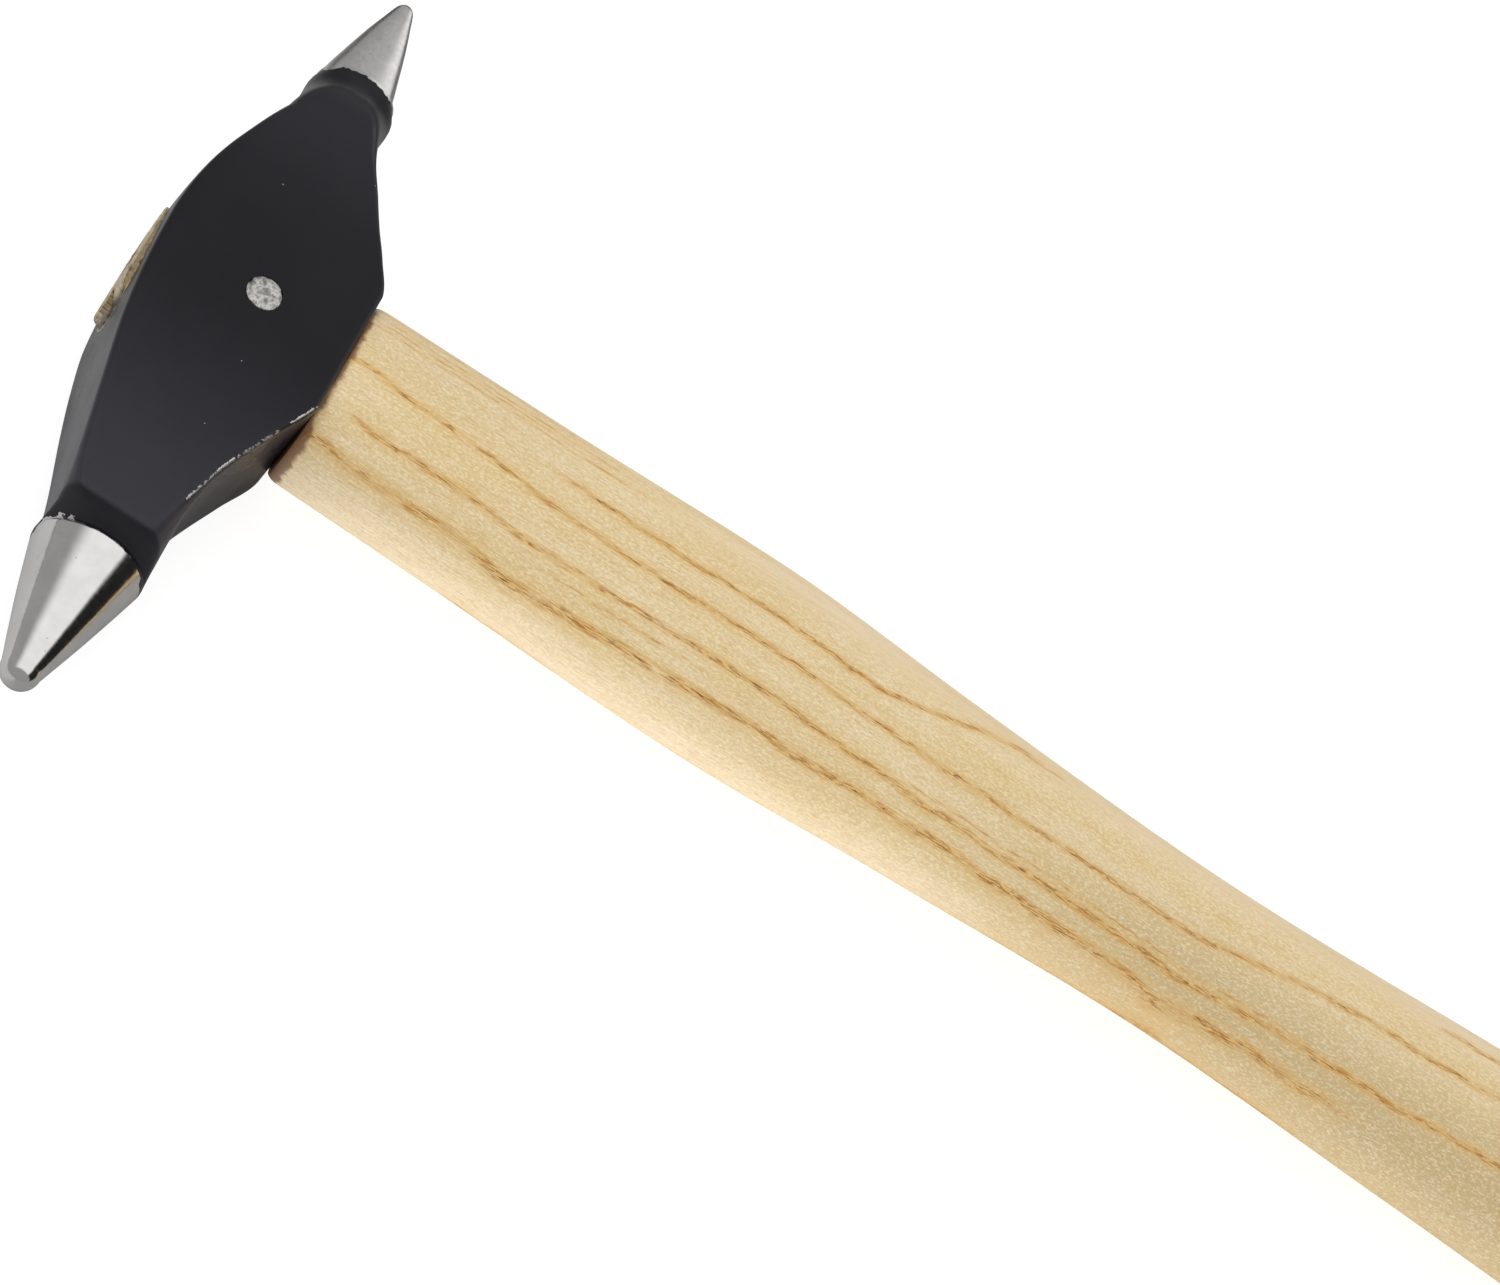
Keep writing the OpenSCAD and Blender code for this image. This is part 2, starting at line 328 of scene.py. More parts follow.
def crown_x(y):
    """X of the crowned side at distance y along the head: an arc, then a straight wing."""
    radius, turn_deg = CROWN_PEEN if y > CREST_Y else CROWN_CONE
    turn = math.radians(turn_deg)
    run = abs(y - CREST_Y)
    turn_run = radius * math.sin(turn)
    if y > NECK_PEEN[0][0]:
        return stations(NECK_PEEN, y)[0]
    if run < turn_run:
        return CREST_X + radius - math.sqrt(radius**2 - run**2)
    return CREST_X + radius * (1 - math.cos(turn)) + (run - turn_run) * math.tan(turn)


def body_section(y):
    """Points (x, z) of the painted forging's outline at distance y along the head."""
    x0 = crown_x(y)
    x1 = stations(UNDERSIDE, y)[0] if abs(y) > SHOULDER_HALF else SHOULDER_H
    half = stations(BODY, y)[0]
    tx, tz, bx, bz = stations(CORNERS, y)
    set_in, far_x, far_z = stations(LOWER_EDGE, y)
    edge_swell, mid_swell = stations(CROWN_SWELL, y)
    if y < CONE_TURN_Y:
        # The last stretch rounds off to the cone's own circle
        x0 = mix(crown_x(CONE_TURN_Y), CONE_X - CONE_R, (CONE_TURN_Y - y) / (CONE_TURN_Y - CONE_PAINT_Y))
    width = x1 - x0

    def fit(rx, rz):
        return min(rx, width * 0.499), min(rz, half * 0.999)

    corners = (fit(bx, bz), fit(tx, tz), fit(far_x, far_z), fit(bx, bz))
    points = rounded_section(x0, x1, MID_Z - half, MID_Z + half, corners)
    out = []
    for x, z in points:
        down = (MID_Z + half - z) / (2 * half)
        crowned = (x1 - x) / width
        x += set_in * down**2 * crowned
        x -= (edge_swell + mid_swell * (1 - ((z - MID_Z) / half) ** 2)) * crowned
        out.append((x, z))
    return out


def oval(x, half_l, half_w, count=96):
    """Ring of a stadium round the eye's axis at distance x."""
    straight = 2 * (half_l - half_w)
    total = 2 * straight + 2 * math.pi * half_w
    ring = []
    for i in range(count):
        s = total * i / count
        if s < straight / 2:
            y, z = s, half_w
        elif s < straight / 2 + math.pi * half_w:
            a = (s - straight / 2) / half_w
            y, z = straight / 2 + half_w * math.sin(a), half_w * math.cos(a)
        elif s < 1.5 * straight + math.pi * half_w:
            y, z = straight / 2 - (s - straight / 2 - math.pi * half_w), -half_w
        elif s < 1.5 * straight + 2 * math.pi * half_w:
            a = (s - 1.5 * straight - math.pi * half_w) / half_w
            y, z = -straight / 2 - half_w * math.sin(a), -half_w * math.cos(a)
        else:
            y, z = s - total, half_w
        ring.append((x, y, MID_Z + z))
    return ring


def eye_grow(x, gap):
    """Extra half width of the eye at distance x, flared at its mouth."""
    return EYE_FLARE * max(0.0, (FLARE_H - CROWN_H - x) / FLARE_H) - gap


def eye_cutter():
    """The eye, right through the head and past both its sides."""
    rings = []
    for x in (-CROWN_H - 4, FLARE_H - CROWN_H, SHOULDER_H + 4):
        grow = eye_grow(x, 0)
        rings.append(oval(x, EYE_L / 2 + grow, EYE_W / 2 + grow))
    return loft("eye_cutter", rings)


def circle(z, radius, count):
    """Level ring round the pin's axis at height z."""
    turns = [math.tau * i / count for i in range(count)]
    return [(math.cos(a) * radius, math.sin(a) * radius, z) for a in turns]


def pin_cutter():
    return loft("pin_cutter", [circle(z, PIN_R, 72) for z in (-3, 2 * MID_Z + 3)])


def head_body():
    """Painted forging: every section is slightly uneven, as hammered steel is under its paint."""
    ys = []
    y = CONE_PAINT_Y
    while y < PEEN_PAINT_Y + 0.5:
        ys.append(y)
        near_end = y < -36.0 or y > 36.0
        near_shoulder = abs(abs(y) - SHOULDER_HALF) < 0.7
        y += 0.12 if near_end or near_shoulder else 0.4
    rings = []
    for y in ys:
        ring = []
        calm = ease((y - CONE_PAINT_Y) / 1.5)
        for x, z in body_section(min(y, PEEN_PAINT_Y)):
            dent = 0.05 * (wobble(x, y, z, 11.0, 3.1) - 0.6) + 0.015 * (wobble(x, y, z, 4.0, 7.7) - 0.6)
            cx = mix(CONE_X, PEEN_X, (y + 40) / 80)
            d = Vector((x - cx, z - MID_Z))
            d *= 1 + calm * dent / max(d.length, 1.0)
            ring.append((cx + d.x, y, MID_Z + d.y))
        rings.append(ring)

    def turned_in(ring, middle_x, back):
        return [(mix(x, middle_x, 0.12), y + back, mix(z, MID_Z, 0.12)) for x, y, z in ring]

    # The skin turns in behind the bare steel at both ends
    rings.insert(0, turned_in(rings[0], CONE_X, 0.8))
    rings.append(turned_in(rings[-1], PEEN_X, -0.8))
    piece = loft("head_body", rings)
    cut(piece, eye_cutter(), pin_cutter())
    smooth(piece, 32)
    return piece


def cone_tip():
    """Ground cone: a short land behind the paint, the taper, and a rounded nose."""
    count = 160
    taper_steps = 40
    nose_steps = 14
    start_r = CONE_R - 0.02
    nose_r = CONE_NOSE_R + 0.1
    nose_y = -CONE_REACH + CONE_NOSE_R + 0.15
    tip_y = -CONE_REACH + 0.05
    profile = [
        (CONE_PAINT_Y + 1.2, CONE_R - 0.6),
        (CONE_PAINT_Y + 1.1, CONE_R - 0.3),
        (CONE_PAINT_Y, CONE_R),
        (CONE_START_Y, start_r),
    ]
    for i in range(1, taper_steps + 1):
        t = i / taper_steps
        bulge = 0.132 * math.sin(math.pi * t)
        profile.append((mix(CONE_START_Y, nose_y, t), mix(start_r, nose_r, t) + bulge))
    for i in range(1, nose_steps + 1):
        a = math.radians(88 * i / nose_steps)
        profile.append((mix(nose_y, tip_y, math.sin(a)), nose_r * math.cos(a) ** 0.9))
    rings = []
    for y, r in profile:
        ring = []
        for i in range(count):
            a = math.tau * i / count
            x = CONE_X + r * math.cos(a)
            z = MID_Z + r * math.sin(a)
            bump = 0.012 * wobble(x, y, z, 2.2, 1.3) + 0.02 * wobble(x, y, z, 6.0, 5.0)
            k = 1 + bump / max(r, 1.5)
            ring.append((CONE_X + (x - CONE_X) * k, y, MID_Z + (z - MID_Z) * k))
        rings.append(ring)
    piece = loft("cone_tip", rings)
    smooth(piece, 50)
    return piece


# Distance along the head, with half thickness in X, half width in Z and squareness of the wedge
PEEN = [
    [40.0, 5.2, 4.75, 3.0],
    [42.0, 5.0, 4.7, 3.0],
    [45.0, 4.35, 4.55, 3.0],
    [50.0, 3.1, 4.25, 3.2],
    [54.5, 1.75, 3.95, 3.4],
    [56.0, 1.3, 3.8, 3.2],
]


def peen_tip():
    """Ground cross peen: a wedge with crowned sides that ends in a rounded working edge."""
    count = 160
    edge_start = 55.4
    ys = [PEEN[0][0] + 0.35 * i for i in range(44)]
    ys = [y for y in ys if y < edge_start]
    ys += [mix(edge_start, PEEN_REACH - 0.05, math.sin(math.radians(88 * i / 10))) for i in range(11)]
    rings = []
    for y in ys:
        hx, hz, square = stations(PEEN, y)
        t = max(0.0, (y - edge_start) / (PEEN_REACH - edge_start))
        shrink = math.sqrt(max(1 - t * t, 0.0))
        hx = max(hx * shrink, 0.05)
        hz = hz - (1 - shrink) * 1.1
        ring = []
        for i in range(count):
            a = math.tau * i / count
            c, s = math.cos(a), math.sin(a)
            x = math.copysign(abs(c) ** (2 / square), c) * hx
            z = math.copysign(abs(s) ** (2 / square), s) * hz
            k = 1 + 0.004 * wobble(x, y, z, 2.5, 4.0)
            ring.append((PEEN_X + x * k, y, MID_Z + z * k))
        rings.append(ring)
    piece = loft("peen_tip", rings)
    smooth(piece, 50)
    return piece


# ---------------------------------------------------------------- the handle

# Distance from the pin, with half the width and half the depth of the shaft
SHAFT = [
    [12.8, 13.0, 10.2],
    [40, 13.4, 10.5],
    [77, 14.2, 10.8],
    [105, 12.7, 10.0],
    [145, 11.2, 9.2],
    [185, 12.7, 9.9],
    [226, 14.3, 10.8],
    [258, 14.0, 10.7],
    [284, 13.7, 10.6],
]
BUTT_L = 9.0
# Distance past the shoulder, with the shaft's scale there: its end is rounded over against the head
FOOT = [(0.1, 0.955), (0.35, 0.975), (0.7, 0.988), (1.3, 0.997)]


def shaft_ring(x, scale, count):
    """Ring of the shaft at distance x, between an ellipse and a rectangle."""
    half_w, half_d = stations(SHAFT, x)
    ring = []
    for i in range(count):
        # Starts at the broad side, as oval() does, so that the tenon runs into the shaft
        a = math.tau * i / count
        s, c = math.sin(a), math.cos(a)
        y = math.copysign(abs(s) ** (2 / HANDLE_SQUARE), s) * half_w * scale
        z = math.copysign(abs(c) ** (2 / HANDLE_SQUARE), c) * half_d * scale
        ring.append((x, y, MID_Z + z))
    return ring


def tenon_rings(count):
    """Rings of the tenon, from the middle of its cut end to the head's shoulder."""

    def ring(x, end_round=0.0):
        grow = eye_grow(x, TENON_GAP)
        return oval(x + end_round, EYE_L / 2 + grow, EYE_W / 2 + grow, count)

    flare_end = FLARE_H - CROWN_H
    steps = 11
    rings = []
    for k in (0.3, 0.55, 0.75, 0.88, 0.96):
        rings.append([(x, y * k, MID_Z + (z - MID_Z) * k) for x, y, z in ring(TENON_TOP)])
    rings.append(ring(TENON_TOP, 0.25))
    rings += [ring(mix(TENON_TOP, flare_end, i / steps)) for i in range(1, steps + 1)]
    rings += [ring(mix(flare_end, SHOULDER_H, i / steps)) for i in range(1, steps + 1)]
    return rings


def shaft_rings(count):
    """Rings of the shaft, from its foot at the head to its domed butt."""
    steps = 260
    butt_steps = 18
    butt_x = BUTT_REACH - BUTT_L
    start_x = SHOULDER_H + FOOT[-1][0]
    rings = [shaft_ring(SHOULDER_H, 0.925, count)]
    rings += [shaft_ring(SHOULDER_H + back, scale, count) for back, scale in FOOT]
    rings += [shaft_ring(mix(start_x, butt_x, i / steps), 1.0, count) for i in range(1, steps + 1)]
    for i in range(1, butt_steps + 1):
        u = math.sin(math.radians(86 * i / butt_steps))
        rings.append(shaft_ring(butt_x + BUTT_L * u, (1 - u**2.6) ** (1 / 2.2), count))
    return rings


def uneven_wood(x, y, z):
    """Moves a point of the handle: faint hand-shaping on the shaft, a torn end on the tenon."""
    if x > SHOULDER_H + 0.2:
        k = 1 + (0.09 * wobble(x * 0.25, y, z, 8.0, 2.0) - 0.06) / 12
        return x, y * k, MID_Z + (z - MID_Z) * k
    if x < -CROWN_H + 2.5:
        # The trimmed end stands a little proud of the crowned side, least at both ends of the eye
        proud = 0.15 + 0.9 * ease((y + 7.7) / 2.4) * ease((9.6 - y) / 1.8)
        proud += 0.25 * math.exp(-((y - 3.0) / 1.5) ** 2)
        torn = 0.22 * wobble(0, y, z, 1.6, 6.0) + 0.12 * wobble(0, y, z, 0.6, 1.0)
        x = max(x, TENON_TOP + 0.08, crown_x(y) - proud + torn)
    return x, y, z


def handle():
    """Ash handle in one skin: tenon, step against the head, shaft and butt."""
    count = 144
    tenon = tenon_rings(count)
    shaft = shaft_rings(count)
    step = []
    for t in (0.3, 0.65):
        step.append([tuple(mix(a, b, t) for a, b in zip(p, q)) for p, q in zip(tenon[-1], shaft[0])])
    rings = [[uneven_wood(*point) for point in ring] for ring in tenon + step + shaft]
    piece = loft("handle_ash", rings)
    smooth(piece, 35)
    return piece


# ---------------------------------------------------------------- pin, wedge and glue


def cross_pin():
    """Pin with two hand-dressed ends, each slightly crowned and ragged at its rim."""
    count = 120
    low = pin_low[2] - 0.04
    high = pin_high[2] + 0.04

    def end_rings(z, sign):
        """Rings of one end, from its middle to its rim."""
        made = []
        for k in (0.15, 0.35, 0.55, 0.72, 0.86, 0.95, 1.0):
            ring = []
            for i in range(count):
                a = math.tau * i / count
                c, s = math.cos(a), math.sin(a)
                ragged = 0.42 * max(0.0, wobble(c * 3, s * 3, z, 1.3, 2.0)) * ease((k - 0.6) / 0.25)
                x = c * k * (PIN_R - 0.04 - ragged)
                y = s * k * (PIN_R - 0.04 - ragged)
                lift = 0.054 * (wobble(x, y, z, 1.1, 3.0) - 0.8) - 0.8 * max(0.0, k - 0.80)
                lift -= 0.16 * math.exp(-((x - 0.5) ** 2 + (y + 0.2) ** 2) / 0.6)
                ring.append((x, y, z + sign * lift))
            made.append(ring)
        return made

    rings = end_rings(low, -1)
    rings += [circle(z, PIN_R, count) for z in (low + 0.5, MID_Z, high - 0.5)]
    rings += end_rings(high, 1)[::-1]
    piece = loft("cross_pin_steel", rings)
    smooth(piece, 50)
    return piece


def eye_wedge():
    """Sawn wedge in the tenon, with a torn stub where it was cut off."""
    x0 = wedge_low[0] + 0.7
    x1 = wedge_high[0]
    half_y = (wedge_high[1] - wedge_low[1]) / 2
    half_0 = (wedge_high[2] - wedge_low[2]) / 2
    thin_end = 0.42
    steps = 15
    rings = []
    for i in range(steps + 1):
        x = mix(x0, x1, i / steps)
        half_z = mix(half_0, half_0 * thin_end, i / steps)
        corners = [(half_z, -half_y), (half_z, half_y), (-half_z, half_y), (-half_z, -half_y)]
        ring = []
        for (z, y), (next_z, next_y), count in zip(corners, corners[1:] + corners[:1], (22, 5, 22, 5)):
            for j in range(count):
                ring.append((x, mix(y, next_y, j / count), MID_Z + mix(z, next_z, j / count)))
        rings.append(ring)

    def torn(x, y, z):
        return x - 0.3 * max(0.0, wobble(0, y, z, 1.5, 9.0)) - 0.3 * math.exp(-((y - 0.8) / 1.1) ** 2), y, z

    rings[0] = [torn(*point) for point in rings[0]]
    piece = loft("eye_wedge_wood", rings)
    smooth(piece, 35)
    return piece


def glue_bead():
    """Lumpy bead of glue round the tenon's end, lying on the crowned side."""
    count = 220
    around = 14
    outside = EYE_FLARE + 0.12
    path = oval(0, EYE_L / 2 + outside, EYE_W / 2 + outside, count)
    rings = []
    for i, (_, y, z) in enumerate(path):
        y2, z2 = path[(i + 1) % count][1:]
        out = Vector((z2 - z, y - y2)).normalized() * -1
        size = 0.30 + 0.16 * wobble(y, z, 0, 1.3, 4.0) + 0.07 * wobble(y, z, 0, 0.5, 8.0)
        size *= 0.55 + 0.45 * ease((y + 8.5) / 3)
        ring = []
        for j in range(around):
            a = math.tau * j / around
            reach = size * math.cos(a) * 1.25
            lift = max(size * math.sin(a) * 0.75, -0.06) + 0.02
            ring.append((crown_x(y) - lift, y + out.x * reach, z + out.y * reach))
        rings.append(ring)
    rings.append(rings[0])
    piece = loft("glue_bead_set", rings, capped=False)
    smooth(piece, 60)
    return piece


# ---------------------------------------------------------------- materials


class Nodes:
    """Short calls for building a node tree of a material or of the world."""

    def __init__(self, owner, place="Object", unit=MM):
        self.owner = owner
        owner.use_nodes = True
        self.tree = owner.node_tree
        self.tree.nodes.clear()
        coords = self.tree.nodes.new("ShaderNodeTexCoord")
        self.place = self.vector("SCALE", coords.outputs[place], scale=1 / unit)
        split = self.tree.nodes.new("ShaderNodeSeparateXYZ")
        self.link(self.place, split.inputs[0])
        self.x, self.y, self.z = split.outputs

    def link(self, source, target):
        if isinstance(source, (int, float)):
            target.default_value = source
        elif isinstance(source, tuple):
            target.default_value = source if len(source) == len(target.default_value) else (*source, 1.0)
        else:
            self.tree.links.new(source, target)

    def math(self, kind, a, b=None, c=None, clamp=False):
        node = self.tree.nodes.new("ShaderNodeMath")
        node.operation = kind
        node.use_clamp = clamp
        for value, socket in zip((a, b, c), node.inputs):
            if value is not None:
                self.link(value, socket)
        return node.outputs[0]

    def vector(self, kind, a, b=None, scale=None):
        node = self.tree.nodes.new("ShaderNodeVectorMath")
        node.operation = kind
        self.link(a, node.inputs[0])
        if b is not None:
            self.link(b, node.inputs[1])
        if scale is not None:
            self.link(scale, node.inputs["Scale"])
        return node.outputs["Vector"]

    def stretched(self, sx, sy, sz, shift=(0.0, 0.0, 0.0)):
        """Object place divided by a size in each direction, so that noise stretches along it."""
        moved = self.vector("ADD", self.place, shift)
        return self.vector("MULTIPLY", moved, (1 / sx, 1 / sy, 1 / sz))

    def noise(self, place, detail=2.0, rough=0.5, distortion=0.0):
        node = self.tree.nodes.new("ShaderNodeTexNoise")
        self.link(place, node.inputs["Vector"])
        node.inputs["Scale"].default_value = 1.0
        node.inputs["Detail"].default_value = detail
        node.inputs["Roughness"].default_value = rough
        node.inputs["Distortion"].default_value = distortion
        return node.outputs["Fac"]

    def specks(self, place, radius):
        """1 inside small round specks, one in each cell, else 0."""
        node = self.tree.nodes.new("ShaderNodeTexVoronoi")
        self.link(place, node.inputs["Vector"])
        node.inputs["Scale"].default_value = 1.0
        return self.math("LESS_THAN", node.outputs["Distance"], radius), node.outputs["Color"]

    def span(self, value, low, high, to_low=0.0, to_high=1.0, soft=True):
        """Value carried from low..high to to_low..to_high."""
        node = self.tree.nodes.new("ShaderNodeMapRange")
        node.interpolation_type = "SMOOTHSTEP" if soft else "LINEAR"
        node.clamp = True
        for v, socket in zip((value, low, high, to_low, to_high), node.inputs[:5]):
            self.link(v, socket)
        return node.outputs["Result"]

    def blend(self, factor, a, b):
        node = self.tree.nodes.new("ShaderNodeMix")
        node.data_type = "RGBA"
        self.link(factor, node.inputs[0])
        self.link(a, node.inputs[6])
        self.link(b, node.inputs[7])
        return node.outputs[2]

    def bump(self, height, strength, distance, below=None):
        node = self.tree.nodes.new("ShaderNodeBump")
        node.inputs["Strength"].default_value = strength
        node.inputs["Distance"].default_value = distance * MM
        self.link(height, node.inputs["Height"])
        if below is not None:
            self.link(below, node.inputs["Normal"])
        return node.outputs["Normal"]

    def surface(self, **sockets):
        """Principled shader with the given sockets, named with underscores for spaces."""
        node = self.tree.nodes.new("ShaderNodeBsdfPrincipled")
        for name, value in sockets.items():
            self.link(value, node.inputs[name.replace("_", " ")])
        return node.outputs[0]

    def mix_shader(self, factor, a, b):
        node = self.tree.nodes.new("ShaderNodeMixShader")
        self.link(factor, node.inputs[0])
        self.link(a, node.inputs[1])
        self.link(b, node.inputs[2])
        return node.outputs[0]

    def product(self, *values):
        out = values[0]
        for value in values[1:]:
            out = self.math("MULTIPLY", out, value)
        return out

    def tinted(self, base, tint, *strengths):
        """Base with the tint laid over it, at the product of the strengths."""
        return self.blend(self.product(*strengths), base, tint)

    def finish(self, shader, kind="ShaderNodeOutputMaterial"):
        self.link(shader, self.tree.nodes.new(kind).inputs["Surface"])
        return self.owner


def material(name):
    """Nodes of a new material, in object coordinates measured in millimetres."""
    return Nodes(bpy.data.materials.new(name))


def steel_shader(n, rough, scratch):
    """Ground steel: fine grinding marks, a few pits and a faintly mottled shine."""
    grain = n.noise(n.stretched(0.5, 0.5, 0.5), 4.0, 0.6)
    mottled = n.noise(n.stretched(2.5, 2.5, 2.5, (11.0, 3.0, 5.0)), 3.0, 0.6)
    pits, _ = n.specks(n.stretched(1.6, 1.6, 1.6), 0.06)
    tint = n.blend(n.span(mottled, 0.3, 0.7), (0.635, 0.62, 0.605), (0.685, 0.67, 0.66))
    tint = n.blend(n.math("MULTIPLY", pits, 0.5), tint, (0.2, 0.18, 0.16))
    roughness = n.span(grain, 0.3, 0.7, rough * 0.8, rough * 1.25)
    normal = n.bump(grain, scratch, 0.02)
    return n.surface(Base_Color=tint, Metallic=1.0, Roughness=roughness, Normal=normal)


def paint_shader(n, tint, normal):
    """Half-gloss paint whose shine changes slowly over the surface."""
    swirl = n.noise(n.stretched(14.0, 14.0, 14.0, (5.0, 9.0, 2.0)), 2.0, 0.5)
    roughness = n.span(swirl, 0.3, 0.7, 0.26, 0.36)
    return n.surface(Base_Color=tint, Roughness=roughness, Normal=normal, Specular_IOR_Level=0.18)


def paint_tint(n):
    """Black paint: darkest round the pin and lighter along the cheek towards both necks; on both necks
    painted shade darkens it again.
    """
    cone_side = n.blend(n.span(n.y, -37, -2), (0.030, 0.0295, 0.036), (0.0105, 0.0101, 0.0128))
    along_cheek = n.blend(n.span(n.y, 8, 32), cone_side, (0.0195, 0.019, 0.023))
    # Painted shade: the paint is darkened on both necks, where they slope away from the cheek
    ends = n.math("MAXIMUM", n.span(n.y, -37.9, -37.2, 1.0, 0.0), n.span(n.y, 33, 37))
    return n.blend(n.product(ends, 0.85), along_cheek, (0.0075, 0.0073, 0.009))


def cone_bare(n):
    """1 where the cone's grinding has taken the paint off: a line that dips towards both sides."""
    # Degrees round the cone from its upper line, towards the crowned side
    angle = n.math("ARCTAN2", n.math("SUBTRACT", CONE_X, n.x), n.math("SUBTRACT", n.z, MID_Z))
    angle = n.math("MULTIPLY", angle, DEGREES)
    line = n.span(angle, 18, 40, -39.55, -39.2)
    for low, high, dip_low, dip_high in ((70, 88, 0.0, 1.3), (-33, -27, 0.25, 0.0), (-63, -57, 0.45, 0.0)):
        line = n.math("SUBTRACT", line, n.span(angle, low, high, dip_low, dip_high))
    ragged = n.noise(n.stretched(0.9, 0.9, 0.9, (3.0, 3.0, 3.0)), 2.0, 0.55)
    shift = n.span(ragged, 0.25, 0.75, -0.22, 0.22, soft=False)
    return n.math("LESS_THAN", n.math("ADD", n.y, shift), line)


def polished_steel():
    n = material("polished_steel")
    bare = cone_bare(n)
    peel = n.noise(n.stretched(1.6, 1.6, 1.6), 2.0, 0.5)
    paint = paint_shader(n, paint_tint(n), n.bump(peel, 0.3, 0.05))
    return n.finish(n.mix_shader(bare, paint, steel_shader(n, 0.13, 0.25)))


def satin_steel():
    n = material("satin_steel")
    return n.finish(steel_shader(n, 0.34, 0.4))


def pin_steel():
    n = material("dressed_steel")
    rough = n.noise(n.stretched(0.9, 0.9, 0.9), 4.0, 0.7)
    tint = n.blend(n.span(rough, 0.38, 0.60), (0.27, 0.26, 0.24), (0.70, 0.69, 0.66))
    normal = n.bump(rough, 1.0, 0.30)
    return n.finish(n.surface(Base_Color=tint, Metallic=0.9, Roughness=0.45, Normal=normal))


def peen_bare(n):
    """1 where the peen's grinding has taken the paint off."""
    ragged = n.noise(n.stretched(0.9, 0.9, 0.9, (3.0, 3.0, 3.0)), 4.0, 0.65)
    shift = n.span(ragged, 0.3, 0.7, -0.22, 0.22, soft=False)
    return n.math("GREATER_THAN", n.math("ADD", n.y, shift), PEEN_PAINT_Y + 0.05)


# The lower cheek edge on the cone's side: X at CHIPS_END_Y, its slope, and the change of slope at the neck
CHIPS_END_Y = -9.67
CHIPS_END_X = 12.66
CHIPS_SLOPE = 0.412
CHIPS_NECK_Y = -24.5
CHIPS_NECK_SLOPE = 0.145


def edge_chips(n):
    """1 in a thin broken line of chips along the lower edge of the upper cheek, on the cone's side."""
    along = n.product(n.span(n.y, -33.5, -31.0), n.span(n.y, -8.6, -9.6))
    from_cheek = n.math("SUBTRACT", MID_Z + HALF_T, n.z)
    edge_x = n.math("ADD", n.math("MULTIPLY", n.math("SUBTRACT", n.y, CHIPS_END_Y), CHIPS_SLOPE), CHIPS_END_X)
    neck = n.math("MAXIMUM", n.math("SUBTRACT", CHIPS_NECK_Y, n.y), 0.0)
    edge_x = n.math("ADD", edge_x, n.product(neck, CHIPS_NECK_SLOPE))
    near_edge = n.math("ADD", n.math("ABSOLUTE", n.math("SUBTRACT", n.x, edge_x)), from_cheek)
    flake = n.noise(n.stretched(0.7, 0.7, 0.7, (7.0, 1.0, 4.0)), 5.0, 0.7)
    gaps = n.noise(n.stretched(3.0, 3.0, 3.0, (2.0, 8.0, 6.0)), 2.0, 0.6)
    reach = n.product(n.span(flake, 0.32, 0.66, 0.16, 0.44, soft=False), n.span(gaps, 0.36, 0.46, 0.5, 1.0))
    return n.product(n.math("LESS_THAN", near_edge, reach), along)


def black_paint():
    """Black paint over the forging, worn through to steel along one edge and at both ends."""
    n = material("black_paint")
    peel = n.noise(n.stretched(1.6, 1.6, 1.6), 2.0, 0.5)
    dust_cells, dust_pick = n.specks(n.stretched(3.4, 3.4, 3.4, (1.0, 2.0, 3.0)), 0.03)
    pick = n.tree.nodes.new("ShaderNodeSeparateColor")
    n.link(dust_pick, pick.inputs[0])
    dust = n.product(dust_cells, n.math("GREATER_THAN", pick.outputs[0], 0.72))
    bare = n.math("MAXIMUM", n.math("MAXIMUM", cone_bare(n), peen_bare(n)), edge_chips(n))
    height = n.math("SUBTRACT", n.math("MULTIPLY", peel, 0.10), bare)
    normal = n.bump(height, 0.5, 0.06)
    tint = n.blend(dust, paint_tint(n), (0.30, 0.30, 0.31))
    steel = n.surface(Base_Color=(0.62, 0.61, 0.60), Metallic=1.0, Roughness=0.34, Normal=normal)
    return n.finish(n.mix_shader(bare, paint_shader(n, tint, normal), steel))


# Growth rings on edge. Each row of pores: its Y at the head and the change in Y by x = 60, the two
# values of X between which it changes again and by how much, then the stretch of X where it shows
RINGS = [
    [-0.1, -2.8, 135, 175, 3.9, 8, 300],
    [-7.0, -1.1, 140, 175, 0.8, 14, 300],
    [-10.9, -1.2, 70, 110, 1.6, 8, 176],
    [4.6, -2.9, 90, 114, 5.3, 40, 120],
    [7.6, -0.8, 210, 250, -3.0, 176, 300],
]
# Closer and finer rows near the head
FINE_RINGS = [
    [6.2, 0.8, 90, 120, 0.0, 8, 60],
    [8.2, 0.4, 90, 120, 0.0, 10, 56],
    [9.7, 0.6, 90, 120, 0.0, 8, 50],
    [7.2, 0.6, 90, 120, 0.0, 12, 48],
    [-5.4, -1.6, 90, 120, 0.0, 96, 200],
    [3.6, -2.0, 90, 114, 5.0, 60, 126],
    [-8.9, -1.0, 95, 135, 0.0, 44, 76],
]
